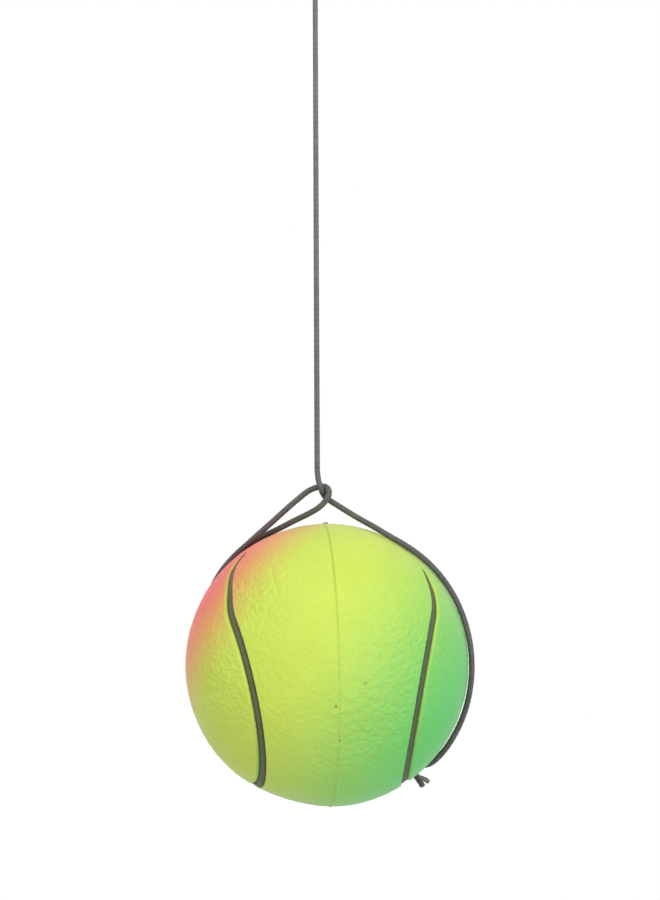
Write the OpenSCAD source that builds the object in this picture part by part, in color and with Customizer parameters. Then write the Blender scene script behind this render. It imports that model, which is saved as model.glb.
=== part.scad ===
// A rubber ball on an elastic string: a moulded ball with a tennis-style groove hangs in a slip noose,
// which the string forms by running through a loop of its own end. A finger loop holds the upper end.
// Millimetres, +Z up, with the viewer on the -Y side. The origin is the top inside of the finger loop.

/* [Ball] */
// Diameter of the ball
ball_d = 60; // [40:1:80]
// Distance of the ball's middle to the right of the string
ball_offset = 1.9; // [0:0.1:4]
// Turn of the ball about the vertical, in degrees
ball_yaw = 5; // [-30:1:30]
// Lean of the mould line to the left at its top, in degrees
ball_lean = 1; // [-10:0.5:10]

/* [Seam] */
// Half-width of the panel's waist, in degrees from its middle
seam_waist = 31; // [25:1:36]
// How far the waist's middle lies below the ball's front, in degrees
seam_dip = 28; // [0:1:90]
// Width of the moulded groove
groove_w = 1.6; // [1.2:0.1:2.4]
// Depth of the moulded groove
groove_depth = 0.6; // [0.45:0.05:1]
// Distance from the ball's surface down to the paint in the groove
paint_sink = 0.25; // [0.15:0.05:0.3]
// Clearance between the paint and the groove
paint_clearance = 0.02; // [0.01:0.01:0.05]

/* [Mould line] */
// Width of the mould line
mould_line_w = 0.7; // [0.4:0.1:1.2]
// Height of the mould line above the ball
mould_line_h = 0.12; // [0.06:0.01:0.15]
// Diameter of the nib of flash at the top of the mould line
nib_d = 1.3; // [0.8:0.1:1.6]
// Height of the nib above the ball
nib_h = 0.5; // [0.3:0.05:0.6]

/* [Cord] */
// Diameter of the cord
cord_d = 1.2; // [0.9:0.1:1.5]
// Diameter of the rubber core in the cord
core_d = 0.7; // [0.4:0.05:0.75]
// Clearance between the core and the sleeve
core_clearance = 0.03; // [0.02:0.01:0.05]
// Clearance between the cord and the ball
cord_gap = 0.3; // [0.3:0.05:0.6]
// Clearance between the ends of two stretches of cord that move
end_gap = 0.1; // [0.05:0.05:0.3]

/* [String] */
// Length of the string from the finger knot to its short end stretch
string_len = 90; // [40:1:400]
// Length of the short end stretch above the hitch
string_end_len = 12; // [6:1:40]
// Length of the strand from the end stretch down to the hitch
hitch_drop = 7; // [6:0.5:12]
// Height of the hitch above the top of the ball
hitch_rise = 6.2; // [5:0.1:9]
// Distance of the hitch's middle to the right of the string, in cord diameters
hitch_side = 0.8; // [0.6:0.1:1]

/* [Finger loop] */
// Inner diameter of the loop, over the finger
loop_d = 19; // [15:0.5:25]
// Slope of the loop's legs from the vertical, in degrees
leg_angle = 21; // [15:1:30]
// Clearance between the legs where they enter the knot
leg_gap = 0.1; // [0.05:0.05:0.5]
// Diameter of the finger knot
finger_knot_d = 4.8; // [4.2:0.1:6]
// Height of the finger knot
finger_knot_h = 4.4; // [3:0.1:7]
// Number of turns of cord that show round the finger knot
finger_knot_turns = 3; // [2:1:4]
// Length of the finger knot's cut end
finger_tail_len = 8; // [4:0.5:15]

/* [Noose] */
// Diameter of the noose knot
noose_knot_d = 2.8; // [2.4:0.1:3.4]
// Length of the noose knot's cut ends
noose_tail_len = 3.4; // [1:0.1:5]
// Distance between the middles of the noose's two legs on the ball, in cord diameters
noose_leg_pitch = 1.15; // [1.1:0.05:1.5]

/* [Hidden] */
// Steps round a large circle and round the cord, sides of a bent cord, and sides of the paint in the groove
ROUND = 96;
CORD_ROUND = 32;
CORD_SIDES = 8;
PAINT_SIDES = 4;
ball_r = ball_d / 2;
cord_r = cord_d / 2;

// A rounded cut or bump of a given width and height is part of a circle of this radius
function bump_r(width, height) = (width * width / 4 + height * height) / (2 * height);
groove_r = bump_r(groove_w, groove_depth);
mould_line_r = bump_r(mould_line_w, mould_line_h);
nib_r = bump_r(nib_d, nib_h);

// The seam is four equal arcs of small circles: each passes the waist and two corners of the panel
lobe_tilt = atan((sqrt(0.5) - sin(seam_waist)) / cos(seam_waist));
lobe_angle = acos(sqrt(0.5) * cos(lobe_tilt));
lobe_span = 2 * (90 + atan(sin(lobe_tilt)));

// The finger loop is an arc and its two tangents, which end side by side on the knot
loop_r = loop_d / 2 + cord_r;
loop_z = -loop_d / 2;
leg_pitch = cord_d + leg_gap;
bend_clear = cord_r + end_gap;
bend_angle = bend_clear / loop_r * 180 / PI;
bend_x = loop_r * cos(leg_angle);
bend_z = loop_z - loop_r * sin(leg_angle);
leg_len = (bend_x - leg_pitch / 2) / sin(leg_angle);
knot_top_z = bend_z - leg_len * cos(leg_angle);
knot_bottom_z = knot_top_z - finger_knot_h;

// Levels down the string
string_top_z = knot_bottom_z - bend_clear;
string_bottom_z = string_top_z - string_len;
twist_z = string_bottom_z - string_end_len;
hitch_z = twist_z - hitch_drop;
ball_z = hitch_z - hitch_rise - ball_r;
ball_middle = [ball_offset, 0, ball_z];

hitch_middle = [hitch_side * cord_d, 0, hitch_z];

// A point near the ball: angles round its outline, from the right and up, and behind it
function near_ball(round, behind, height) = ball_middle
    + (ball_r + height) * [cos(behind) * cos(round), sin(behind), cos(behind) * sin(round)];
function on_ball(round, behind) = near_ball(round, behind, cord_gap + cord_r);
function in_hitch(x, y, z) = hitch_middle + cord_d * [x, y, z];

// The noose knot sits at the lower right, behind the outline
knot_round = -51.5;
knot_behind = 24.5;
noose_knot_middle = near_ball(knot_round, knot_behind, cord_gap + noose_knot_d / 2);

// Turns of the noose knot's two cut ends from the vertical, one downwards and one to the right
TAIL_TURNS = [[25, 148, 0], [-30, 122, 0]];

// Route of the strand through the hitch, in cord diameters from its middle
STRAND_HITCH = [
    [-0.75, -0.15, 3.8], [-0.62, -0.35, 2.6], [-0.46, -0.5, 1.95], [-0.25, -0.55, 1.3], [-0.04, -0.38, 0.6],
    [0.3, 0.2, -0.1], [0.72, 0.42, -0.65], [1.37, 0.5, -1.12], [2.32, 0.45, -1.73], [4.69, 0, -3.22],
    [6.81, -0.9, -4.49], [9.15, -2.5, -5.8]
];
// Route of the strand down the ball's right side, as angles round the outline and behind it
STRAND_SIDE = [
    [63, -8.5], [55, -8.5], [46, -6.5], [37, -5.5], [28, -5], [19, -5.5], [10, -5.5], [0, -5], [-10, -3.5],
    [-20, -0.5], [-28, 2], [-35, 3.5], [-40.5, 6.5], [-44.5, 11], [-47, 16.5]
];
// Route of the noose's bight round the strand, in cord diameters from the hitch's middle
BIGHT = [
    [-10.6, 1.35, -6.5], [-8, 1.25, -4.2], [-5.6, 1.2, -2.05], [-4.02, 1.1, -0.72], [-3.23, 1, -0.08],
    [-2.44, 0.9, 0.5], [-1.64, 0.77, 0.91], [-1, 0.66, 1.15], [-0.35, 0.6, 1.28], [0.4, 0.5, 1.28],
    [0.92, 0.2, 0.97], [1.15, -0.3, 0.42], [1.15, -0.67, -0.2], [0.92, -0.82, -0.74], [0.58, -0.8, -1.26],
    [0.15, -0.75, -1.75], [-0.85, -0.6, -2.58], [-1.65, -0.4, -3.06], [-3.23, 0.1, -3.88], [-5.6, 1.2, -5.04],
    [-8, 2.5, -6.28], [-10.6, 3.6, -7.5]
];
// Route of the noose's legs across the ball's back, as angles round the outline and behind it
LEGS_BACK = [
    [124.5, 7.2], [131, 11.2], [138, 14.3], [145, 18.4], [153, 23], [162, 28.5], [172, 34], [183, 39],
    [195, 43], [208, 45.5], [222, 46.5], [236, 46], [250, 43.5], [262, 40], [273, 36.5], [283, 33],
    [291, 30.5], [298, 28]
];

// A route's direction at one of its points, along the line between the points beside it
function route_step(route, i) =
    route[min(i + 1, len(route) - 1)] - route[max(i - 1, 0)];
function direction(route, i) = route_step(route, i) / norm(route_step(route, i));

// The side direction square to a route, carried on from point to point so that the tube doesn't twist
function squared(side, along) = side - along * (side * along);
function unit(v) = v / norm(v);
function sides(route, i = 0, last = [0, 1, 0]) =
    i == len(route) ? [] :
    let (side = unit(squared(last, direction(route, i))))
    concat([side], sides(route, i + 1, side));

// The ring of points round each point of a route
function ring(route, side_list, i, r) =
    let (other = cross(direction(route, i), side_list[i]))
    [for (k = [0:CORD_SIDES - 1]) route[i]
        + r * (cos(k * 360 / CORD_SIDES) * side_list[i] + sin(k * 360 / CORD_SIDES) * other)];

// A tube along a route, closed at both ends
module tube(route, r) {
    count = len(route);
    side_list = sides(route);
    points = [for (i = [0:count - 1]) each ring(route, side_list, i, r)];
    wall = [for (i = [0:count - 2], k = [0:CORD_SIDES - 1])
        let (a = i * CORD_SIDES + k, b = i * CORD_SIDES + (k + 1) % CORD_SIDES)
        each [[a, a + CORD_SIDES, b], [b, a + CORD_SIDES, b + CORD_SIDES]]];
    first_cap = [for (k = [1:CORD_SIDES - 2]) [0, k, k + 1]];
    last = (count - 1) * CORD_SIDES;
    last_cap = [for (k = [1:CORD_SIDES - 2]) [last, last + k + 1, last + k]];
    polyhedron(points = points, faces = concat(first_cap, wall, last_cap));
}

// Where a cord that comes from a given point ends, just clear of the noose knot
function at_knot(from) =
    noose_knot_middle + unit(from - noose_knot_middle) * (noose_knot_d / 2 + end_gap);

// The strand starts straight below the string's end stretch
strand_top_z = twist_z - end_gap;
strand_side = [for (p = STRAND_SIDE) on_ball(p[0], p[1])];
strand_route = concat(
    [[0, 0, strand_top_z], [0, 0, strand_top_z - cord_d]],
    [for (p = STRAND_HITCH) in_hitch(p[0], p[1], p[2])],
    strand_side,
    [at_knot(strand_side[len(strand_side) - 1])]
);

// The noose's two legs run side by side, each half a pitch from their middle route, into the knot
legs_middle = [for (p = LEGS_BACK) on_ball(p[0], p[1])];
legs_last = len(legs_middle) - 1;
function leg_shift(hand, i) = hand * noose_leg_pitch * cord_d / 2
    * unit(cross(direction(legs_middle, i), legs_middle[i] - ball_middle));
function leg(hand) = concat(
    [for (i = [0:legs_last])
        ball_middle + unit(legs_middle[i] + leg_shift(hand, i) - ball_middle) * (ball_r + cord_gap + cord_r)],
    [at_knot(legs_middle[legs_last]) + leg_shift(hand, legs_last)]
);
function backwards(route) = [for (i = [len(route) - 1:-1:0]) route[i]];
noose_route = concat(
    backwards(leg(-1)),
    [for (p = BIGHT) in_hitch(p[0], p[1], p[2])],
    leg(1)
);

// One arc of the seam: the section that is passed in, drawn round the ball's middle, swept along the arc
module lobe() {
    rotate([0, 90 + lobe_tilt, 0])
        rotate([0, 0, -lobe_span / 2])
            rotate_extrude(angle = lobe_span, $fn = ROUND)
                children();
}

// The whole closed seam of that section
module seam() {
    rotate([-seam_dip, 0, 0])
        for (k = [0:3])
            rotate([0, 0, 90 * k])
                rotate([180 * (k % 2), 0, 0])
                    lobe()
                        children();
}

// Puts the section of a groove, drawn round the middle of the groove's circle, on the ball
groove_middle = ball_r - groove_depth + groove_r;
module at_groove() {
    rotate(90 - lobe_angle)
        translate([groove_middle, 0])
            children();
}

// The paint's flat-sided section: its corners lie on the groove's circle, less the clearance, and end at its top
module paint_section() {
    r = groove_r - paint_clearance;
    top_angle = acos((groove_middle - ball_r + paint_sink) / r);
    polygon([for (k = [-PAINT_SIDES:2:PAINT_SIDES])
        r * [-cos(k / PAINT_SIDES * top_angle), sin(k / PAINT_SIDES * top_angle)]]);
}

// Puts a shape made round the origin into the ball's place and turn
module at_ball() {
    translate(ball_middle)
        rotate([0, -ball_lean, ball_yaw])
            children();
}

module ball() {
    color("yellowgreen")
    at_ball()
        difference() {
            union() {
                sphere(ball_r, $fn = ROUND);
                rotate([0, 90, 0])
                    rotate_extrude($fn = ROUND)
                        translate([ball_r + mould_line_h - mould_line_r, 0])
                            circle(mould_line_r, $fn = CORD_ROUND);
                translate([0, 0, ball_r + nib_h - nib_r])
                    sphere(nib_r, $fn = CORD_ROUND);
            }
            seam()
                at_groove()
                    circle(groove_r, $fn = ROUND);
        }
}

module seam_line() {
    color("darkolivegreen")
    at_ball()
        seam()
            at_groove()
                paint_section();
}

module finger_arc() {
    arc = 180 + 2 * (leg_angle - bend_angle);
    color("gray")
    translate([0, 0, loop_z])
        rotate([90, 0, 0])
            rotate([0, 0, 90 - arc / 2])
                rotate_extrude(angle = arc, $fn = ROUND)
                    translate([loop_r, 0])
                        circle(cord_r, $fn = CORD_ROUND);
}

module finger_legs() {
    color("gray")
    for (hand = [-1, 1])
        intersection() {
            translate([hand * bend_x, 0, bend_z])
                rotate([0, hand * leg_angle, 0]) {
                    sphere(cord_r, $fn = CORD_ROUND);
                    translate([0, 0, -leg_len - cord_d])
                        cylinder(r = cord_r, h = leg_len + cord_d, $fn = CORD_ROUND);
                }
            translate([-loop_d, -cord_d, knot_top_z])
                cube([2 * loop_d, 2 * cord_d, leg_len + loop_d]);
        }
}

module finger_knot() {
    turn_r = finger_knot_h / finger_knot_turns / 2;
    turn_x = finger_knot_d / 2 - turn_r;
    color("dimgray")
    translate([0, 0, knot_bottom_z])
        rotate_extrude($fn = ROUND) {
            square([turn_x, finger_knot_h]);
            translate([0, turn_r])
                square([turn_x + turn_r / 3, finger_knot_h - 2 * turn_r]);
            for (k = [0:finger_knot_turns - 1])
                translate([turn_x, turn_r * (1 + 2 * k)])
                    circle(turn_r, $fn = CORD_ROUND);
        }
}

module finger_tail() {
    color("gray")
    translate([0, leg_pitch, knot_top_z])
        cylinder(r = cord_r, h = finger_tail_len, $fn = CORD_ROUND);
}

module string_sleeve() {
    color("gray")
    difference() {
        union() {
            translate([0, 0, string_top_z])
                sphere(cord_r, $fn = CORD_ROUND);
            translate([0, 0, string_bottom_z])
                cylinder(r = cord_r, h = string_len, $fn = CORD_ROUND);
        }
        translate([0, 0, string_bottom_z - cord_d])
            cylinder(d = core_d + 2 * core_clearance, h = string_len + cord_d, $fn = CORD_ROUND);
    }
}

module string_core() {
    color("wheat")
    translate([0, 0, string_bottom_z])
        cylinder(d = core_d, h = string_len - core_clearance, $fn = CORD_ROUND);
}

module string_end() {
    color("gray")
    translate([0, 0, twist_z])
        cylinder(r = cord_r, h = string_end_len - end_gap, $fn = CORD_ROUND);
}

module side_strand() {
    color("dimgray")
        tube(strand_route, cord_r);
}

module noose_loop() {
    color("dimgray")
        tube(noose_route, cord_r);
}

module noose_knot() {
    color("dimgray")
    translate(noose_knot_middle)
        sphere(noose_knot_d / 2, $fn = CORD_ROUND);
}

module noose_tails() {
    color("dimgray")
    translate(noose_knot_middle)
        for (turn = TAIL_TURNS)
            rotate(turn)
                translate([0, 0, noose_knot_d / 2 + end_gap])
                    cylinder(r = cord_r, h = noose_tail_len, $fn = CORD_ROUND);
}

ball();
seam_line();
finger_arc();
finger_legs();
finger_knot();
finger_tail();
string_sleeve();
string_core();
string_end();
side_strand();
noose_loop();
noose_knot();
noose_tails();
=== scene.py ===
"""Looks of a rubber ball on an elastic string: a sprayed, grooved ball hung in a slip noose of braided cord.

Metres, +Z up, with the viewer on the -Y side. The origin is the top inside of the finger loop.
"""

import itertools
import math

import bpy
import numpy as np
from mathutils import Matrix, Vector


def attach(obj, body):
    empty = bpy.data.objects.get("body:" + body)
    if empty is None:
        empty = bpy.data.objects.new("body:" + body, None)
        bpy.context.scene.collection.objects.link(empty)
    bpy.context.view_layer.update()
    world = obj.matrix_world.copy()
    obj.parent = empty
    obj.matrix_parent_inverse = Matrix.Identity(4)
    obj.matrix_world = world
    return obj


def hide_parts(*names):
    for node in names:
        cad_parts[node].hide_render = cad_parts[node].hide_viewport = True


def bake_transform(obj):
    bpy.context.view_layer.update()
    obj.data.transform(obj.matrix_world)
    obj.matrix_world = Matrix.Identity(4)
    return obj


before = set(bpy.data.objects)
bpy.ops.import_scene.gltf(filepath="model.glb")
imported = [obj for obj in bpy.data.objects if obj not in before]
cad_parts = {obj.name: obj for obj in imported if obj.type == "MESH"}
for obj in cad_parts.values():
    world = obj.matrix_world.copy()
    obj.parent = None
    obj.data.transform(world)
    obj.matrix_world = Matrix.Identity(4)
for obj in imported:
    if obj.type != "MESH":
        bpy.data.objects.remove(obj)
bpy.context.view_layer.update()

MM = 0.001

# Sizes of the part, as its source has them
BALL_R = 30 * MM
BALL_MIDDLE = np.array([1.9, 0, -186.29]) * MM
BALL_YAW = math.radians(5)
BALL_LEAN = math.radians(1)
SEAM_WAIST = math.radians(31)
SEAM_DIP = math.radians(28)
CORD_D = 1.2 * MM
CORD_R = CORD_D / 2
CORE_R = 0.35 * MM
LOOP_R = 10.1 * MM
LOOP_Z = -9.5 * MM
LEG_ANGLE = math.radians(21)
LEG_PITCH = 1.3 * MM
KNOT_TOP_Z = -35.99 * MM
KNOT_BOTTOM_Z = -40.39 * MM
STRING_BOTTOM_Z = -131.09 * MM
HITCH_MIDDLE = np.array([0.96, 0, -150.09]) * MM
NOOSE_KNOT_MIDDLE = np.array([19.857, 13.146, -208.865]) * MM
NOOSE_LEG_PITCH = 1.38 * MM

# Where the cord's pieces meet along the straight string
BEND_END_Z = -52 * MM
TWIST_START_Z = -132 * MM
TWIST_END_Z = -144.5 * MM

# Gaps between the cord and the ball: where it lies on it, behind the ball, and at the strand's foot
LAY_GAP = 0.02 * MM
LOOSE_GAP = 0.3 * MM
STRAND_GAP = 0.12 * MM

# The taut string is thinner at its top than the slack cord of the noose
TAUT_R = 0.56 * MM
STRING_FOOT_R = 0.61 * MM
SLACK_R = 0.64 * MM

# The photograph: its frame, and the ball in it, in pixels
IMAGE_W = 660
IMAGE_H = 900
PIXELS_PER_M = 4733
BALL_PIXEL = (327.0, 665.4)
CAMERA_DISTANCE = 1.6
CAMERA_ROLL = math.radians(0.24)
SENSOR = 36
CLIP_START = 0.1
CLIP_END = 20


def make_camera():
    """A camera square to the hanging string, with the ball at its place in the photograph."""
    side = Vector((math.cos(CAMERA_ROLL), 0, -math.sin(CAMERA_ROLL)))
    up = Vector((math.sin(CAMERA_ROLL), 0, math.cos(CAMERA_ROLL)))
    back = side.cross(up)
    across = (BALL_PIXEL[0] - IMAGE_W / 2) / PIXELS_PER_M
    down = (BALL_PIXEL[1] - IMAGE_H / 2) / PIXELS_PER_M
    aim = Vector(BALL_MIDDLE) - side * across + up * down
    data = bpy.data.cameras.new("camera")
    data.sensor_width = SENSOR
    data.lens = SENSOR * CAMERA_DISTANCE * PIXELS_PER_M / IMAGE_H
    data.clip_start = CLIP_START
    data.clip_end = CLIP_END
    camera = bpy.data.objects.new("camera", data)
    bpy.context.scene.collection.objects.link(camera)
    turn = Matrix((side, up, back)).transposed().to_4x4()
    camera.matrix_world = Matrix.Translation(aim + back * CAMERA_DISTANCE) @ turn
    bpy.context.scene.camera = camera


make_camera()


# Colours and material nodes


def srgb(red, green, blue):
    """A colour written as 0 to 255 on a screen, as the linear colour that the shaders take."""
    out = []
    for value in (red, green, blue):
        v = value / 255
        out.append(v / 12.92 if v <= 0.04045 else ((v + 0.055) / 1.055) ** 2.4)
    return (*out, 1)


# Places of the sockets of a node that mixes two colours
MIX_SHARE = 0
MIX_FIRST = 6
MIX_SECOND = 7
MIX_RESULT = 2


class Nodes:
    """A material and the few calls that put its nodes together."""

    def __init__(self, name):
        self.material = bpy.data.materials.new(name)
        self.material.use_nodes = True
        self.tree = self.material.node_tree
        self.shader = self.tree.nodes["Principled BSDF"]

    def add(self, kind, **inputs):
        node = self.tree.nodes.new(kind)
        for name, value in inputs.items():
            node.inputs[name].default_value = value
        return node

    def link(self, source, target):
        self.tree.links.new(source, target)

    def place(self):
        """The point on the piece, in its own space."""
        return self.add("ShaderNodeTexCoord").outputs["Object"]

    def distance_from(self, place):
        """How far the point on the piece is from a place."""
        node = self.add("ShaderNodeVectorMath")
        node.operation = "DISTANCE"
        node.inputs[1].default_value = tuple(place)
        self.link(self.place(), node.inputs[0])
        return node.outputs["Value"]

    def attribute(self, name):
        node = self.add("ShaderNodeAttribute")
        node.attribute_name = name
        return node.outputs["Fac"]

    def noise(self, scale, detail=2.0, roughness=0.5):
        node = self.add("ShaderNodeTexNoise", Scale=scale, Detail=detail, Roughness=roughness)
        self.link(self.place(), node.inputs["Vector"])
        return node.outputs["Fac"]

    def ramp(self, value, low, high, out_low=0.0, out_high=1.0):
        """The value brought from one range to another, and held inside it."""
        node = self.add("ShaderNodeMapRange")
        node.interpolation_type = "SMOOTHSTEP"
        for key, number in (("From Min", low), ("From Max", high), ("To Min", out_low), ("To Max", out_high)):
            node.inputs[key].default_value = number
        self.link(value, node.inputs["Value"])
        return node.outputs["Result"]

    def math(self, operation, a, b):
        node = self.tree.nodes.new("ShaderNodeMath")
        node.operation = operation
        for socket, value in zip(node.inputs, (a, b)):
            if isinstance(value, (int, float)):
                socket.default_value = value
            else:
                self.link(value, socket)
        return node.outputs[0]

    def mix(self, share, a, b, blend="MIX"):
        node = self.tree.nodes.new("ShaderNodeMix")
        node.data_type = "RGBA"
        node.blend_type = blend
        for place, value in ((MIX_SHARE, share), (MIX_FIRST, a), (MIX_SECOND, b)):
            socket = node.inputs[place]
            if isinstance(value, (int, float, tuple)):
                socket.default_value = value
            else:
                self.link(value, socket)
        return node.outputs[MIX_RESULT]

    def bump(self, height, distance, strength=1.0, under=None):
        node = self.add("ShaderNodeBump", Distance=distance, Strength=strength)
        self.link(height, node.inputs["Height"])
        if under is not None:
            self.link(under, node.inputs["Normal"])
        return node.outputs["Normal"]

    def finish(self, colour, normal=None, **settings):
        self.link(colour, self.shader.inputs["Base Color"])
        if normal is not None:
            self.link(normal, self.shader.inputs["Normal"])
        for name, value in settings.items():
            self.shader.inputs[name.replace("_", " ")].default_value = value
        return self.material


# Meshes and routes


def unit(v):
    return v / np.linalg.norm(v, axis=-1, keepdims=True)


def add_mesh(name, points, faces, material, attributes=None):
    """A smooth-shaded mesh piece with named values at its points."""
    mesh = bpy.data.meshes.new(name)
    mesh.from_pydata(np.asarray(points).tolist(), [], faces)
    for key, values in (attributes or {}).items():
        layer = mesh.attributes.new(key, "FLOAT", "POINT")
        layer.data.foreach_set("value", np.asarray(values, np.float32))
    mesh.polygons.foreach_set("use_smooth", np.ones(len(mesh.polygons), bool))
    mesh.materials.append(material)
    mesh.update()
    piece = bpy.data.objects.new(name, mesh)
    bpy.context.scene.collection.objects.link(piece)
    return piece


def smooth_step(value, low, high):
    t = np.clip((value - low) / (high - low), 0, 1)
    return t * t * (3 - 2 * t)


def step_lengths(points):
    return np.linalg.norm(np.diff(points, axis=0), axis=1)


def distance_along(points):
    """How far along its line each point is."""
    return np.concatenate([[0], np.cumsum(step_lengths(points))])


# The fewest points of a route, and how many fine steps a curve takes from one given point to the next
LEAST_POINTS = 4
CURVE_STEPS = 24


def evenly(points, step):
    """The same line with its points evenly spaced, about a step apart."""
    along = distance_along(points)
    count = max(LEAST_POINTS, int(round(along[-1] / step)) + 1)
    at = np.linspace(0, along[-1], count)
    return np.stack([np.interp(at, along, points[:, k]) for k in range(3)], axis=1)


def smooth_route(points, step):
    """Evenly spaced points on a natural cubic curve through the given points."""
    p = np.array(points, float)
    last = len(p) - 1
    gaps = step_lengths(p)
    along = distance_along(p)
    system = np.eye(last + 1)
    wanted = np.zeros((last + 1, 3))
    for i in range(1, last):
        system[i, i - 1:i + 2] = gaps[i - 1], 2 * (gaps[i - 1] + gaps[i]), gaps[i]
        wanted[i] = 6 * ((p[i + 1] - p[i]) / gaps[i] - (p[i] - p[i - 1]) / gaps[i - 1])
    curve = np.linalg.solve(system, wanted)
    at = np.linspace(0, along[-1], CURVE_STEPS * last)
    i = np.clip(np.searchsorted(along, at, side="right") - 1, 0, last - 1)
    gap = gaps[i][:, None]
    before = (along[i + 1] - at)[:, None]
    after = (at - along[i])[:, None]
    fine = (curve[i] * before ** 3 + curve[i + 1] * after ** 3) / (6 * gap)
    fine += (p[i] / gap - curve[i] * gap / 6) * before
    fine += (p[i + 1] / gap - curve[i + 1] * gap / 6) * after
    return evenly(fine, step)


def clear_of_ball(route, r):
    """The route with each point that would be in the ball lifted to lie on it."""
    out = route - BALL_MIDDLE
    far = np.linalg.norm(out, axis=1, keepdims=True)
    return BALL_MIDDLE + out / far * np.maximum(far, BALL_R + LAY_GAP + r)


# The braid of the sleeve: yarns each way round the cord, the length of one crossing along it, its depth as a
# share of the radius, and how square and how level each pillow of yarn is
YARNS = 6
CROSSING = 1.1 * MM
BRAID_DEPTH = 0.1
PILLOW_SQUARE = 0.6
PILLOW_LEVEL = 0.55

# Mesh of a cord: its sides and the step between its rings; and the sides of a core, and its slight braid
CORD_SIDES = 36
CORD_STEP = 0.18 * MM
CORE_SIDES = 16
CORE_DEPTH = 0.02

# A route that starts more than this along Y takes its first side from X
NEARLY_ALONG = 0.9

# A rounded end: how far back it reaches, in radii, and the square of the least share of the thickness
ROUND_REACH = 0.6
ROUND_LEAST = 0.05


def braid(round_share, along):
    """Height of the braid, 0 in the gaps and 1 on the yarns.

    There is a pillow at each crossing, long along the upper yarn.
    """
    a = YARNS * round_share + along / CROSSING
    b = YARNS * round_share - along / CROSSING
    across_a = np.sin(np.pi * (a % 1))
    across_b = np.sin(np.pi * (b % 1))
    a_on_top = (np.floor(a) + np.floor(b)) % 2 == 0
    narrow = np.where(a_on_top, across_a, across_b)
    lengthwise = np.where(a_on_top, across_b, across_a)
    return narrow ** PILLOW_SQUARE * (PILLOW_LEVEL + (1 - PILLOW_LEVEL) * lengthwise)


def sides_along(route):
    """Two directions square to the route at each point, carried along it without a twist."""
    ahead = unit(np.gradient(route, axis=0))
    carried = np.array([0.0, 1.0, 0.0]) if abs(ahead[0][1]) < NEARLY_ALONG else np.array([1.0, 0.0, 0.0])
    side = np.zeros_like(route)
    for i, along in enumerate(ahead):
        carried = carried - along * np.dot(carried, along)
        carried = carried / np.linalg.norm(carried)
        side[i] = carried
    return side, np.cross(ahead, side)


def tube_faces(rings, sides):
    """Quads of a tube and a face at each end."""
    ring = np.arange(rings - 1)[:, None] * sides
    k = np.arange(sides)[None]
    a = ring + k
    b = ring + (k + 1) % sides
    quads = np.stack([a, b, b + sides, a + sides], axis=-1).reshape(-1, 4).tolist()
    first_end = list(range(sides - 1, -1, -1))
    last_end = list(range((rings - 1) * sides, rings * sides))
    return quads + [first_end, last_end]


def add_cord(name, route, material, r=CORD_R, depth=BRAID_DEPTH, thickness=None, sides=CORD_SIDES):
    """A braided cord along an evenly spaced route; r may change along it, and thickness is a share of it."""
    side, other = sides_along(route)
    along = distance_along(route)
    share = np.arange(sides) / sides
    height = braid(share[None], along[:, None])
    thick = np.broadcast_to(r, len(route))
    radius = thick[:, None] * (1 - depth * (1 - height))
    slack = np.clip((thick - TAUT_R) / (SLACK_R - TAUT_R), 0, 1)
    if thickness is not None:
        radius = radius * thickness[:, None]
    turn = 2 * np.pi * share
    out = np.cos(turn)[None, :, None] * side[:, None] + np.sin(turn)[None, :, None] * other[:, None]
    points = route[:, None] + radius[..., None] * out
    faces = tube_faces(len(route), sides)
    values = {"braid": height.ravel(), "slack": np.repeat(slack, sides)}
    return add_mesh(name, points.reshape(-1, 3), faces, material, values)


def rounded_end(route, r):
    """Shares of the thickness that round the route's last end."""
    steps = np.linalg.norm(route - route[-1], axis=1) / (ROUND_REACH * r)
    return np.sqrt(np.clip(1 - np.clip(1 - steps, 0, 1) ** 2, ROUND_LEAST, 1))


# Colours of the sleeve's yarns and of the gaps between them, taut and slack, of its fibres, and of the core
# The taut colours are paler as painted light, for the white surroundings' light wrapping round the thin
# string; the gaps' dark colours are painted shade between the yarns
TAUT_YARN_PAINTED_LIGHT = srgb(126, 125, 125)
SLACK_YARN = srgb(97, 95, 93)
TAUT_GAP_PAINTED_LIGHT_AND_SHADE = srgb(82, 81, 81)
SLACK_GAP_PAINTED_SHADE = srgb(46, 45, 44)
FIBRE_PALE = srgb(150, 148, 144)
LATEX_PALE = srgb(226, 208, 176)
LATEX_DARK = srgb(204, 182, 146)


def cord_material():
    """Braided cord: gaps darkened as painted shade, paler yarns, fine fibres and a dull shine, and paler
    where it is taut as painted light.
    """
    n = Nodes("cord_grey")
    slack = n.attribute("slack")
    # Towards the taut end the yarn and gap colours go paler, which is painted light
    yarn = n.mix(slack, TAUT_YARN_PAINTED_LIGHT, SLACK_YARN)
    gap = n.mix(slack, TAUT_GAP_PAINTED_LIGHT_AND_SHADE, SLACK_GAP_PAINTED_SHADE)
    fibre = n.noise(scale=9000, detail=3, roughness=0.7)
    patch = n.noise(scale=700, detail=2)
    # Where the braid is low, between the yarns, the colour goes to the gaps' painted shade
    colour = n.mix(n.ramp(n.attribute("braid"), low=0.1, high=0.85), gap, yarn)
    colour = n.mix(n.ramp(fibre, low=0.4, high=0.7, out_high=0.3), colour, FIBRE_PALE)
    colour = n.mix(n.ramp(patch, low=0.3, high=0.7, out_high=0.3), colour, gap)
    normal = n.bump(fibre, distance=0.03 * MM, strength=0.6)
    return n.finish(colour, normal, Roughness=0.5, Specular_IOR_Level=0.4)


CORD_GREY = cord_material()


def core_material():
    n = Nodes("core_latex")
    patch = n.noise(scale=3000, detail=2)
    colour = n.mix(n.ramp(patch, low=0.3, high=0.7), LATEX_PALE, LATEX_DARK)
    return n.finish(colour, n.bump(patch, distance=0.03 * MM), Roughness=0.6)


CORE_LATEX = core_material()

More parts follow.
